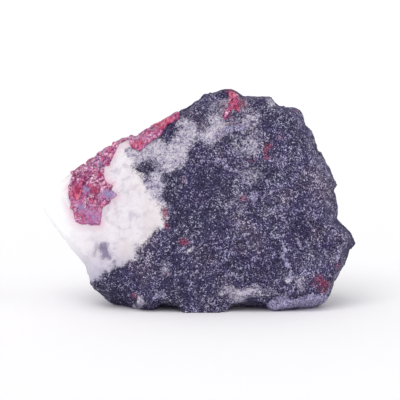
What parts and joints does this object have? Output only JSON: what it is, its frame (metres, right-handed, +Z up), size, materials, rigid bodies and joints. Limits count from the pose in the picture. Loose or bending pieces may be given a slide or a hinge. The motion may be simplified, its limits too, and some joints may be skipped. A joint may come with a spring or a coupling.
{
  "type": "cinnabar on matrix mineral specimen",
  "caption": "Broken hand specimen of dark dolostone and white calcite, with a crust of red cinnabar crystals over one shoulder and a small cinnabar patch at the crest.",
  "frame": {"origin": "middle of the bounding box on the surface that the specimen stands on", "axes": "+X along the broken front face towards its dark end, -Y out of that face, +Z up"},
  "size_m": [0.0634, 0.0304, 0.0432],
  "materials": {
    "matrix_stone": "rough broken dolostone, dark blue-violet and sugary, milky white calcite at its left end",
    "cinnabar": "deep red crystal faces with a bright, nearly metallic sheen"
  },
  "bodies": {
    "root": {"matrix_stone": "matrix_stone", "cinnabar_crust": "cinnabar", "cinnabar_patch": "cinnabar"}
  },
  "joints": []
}
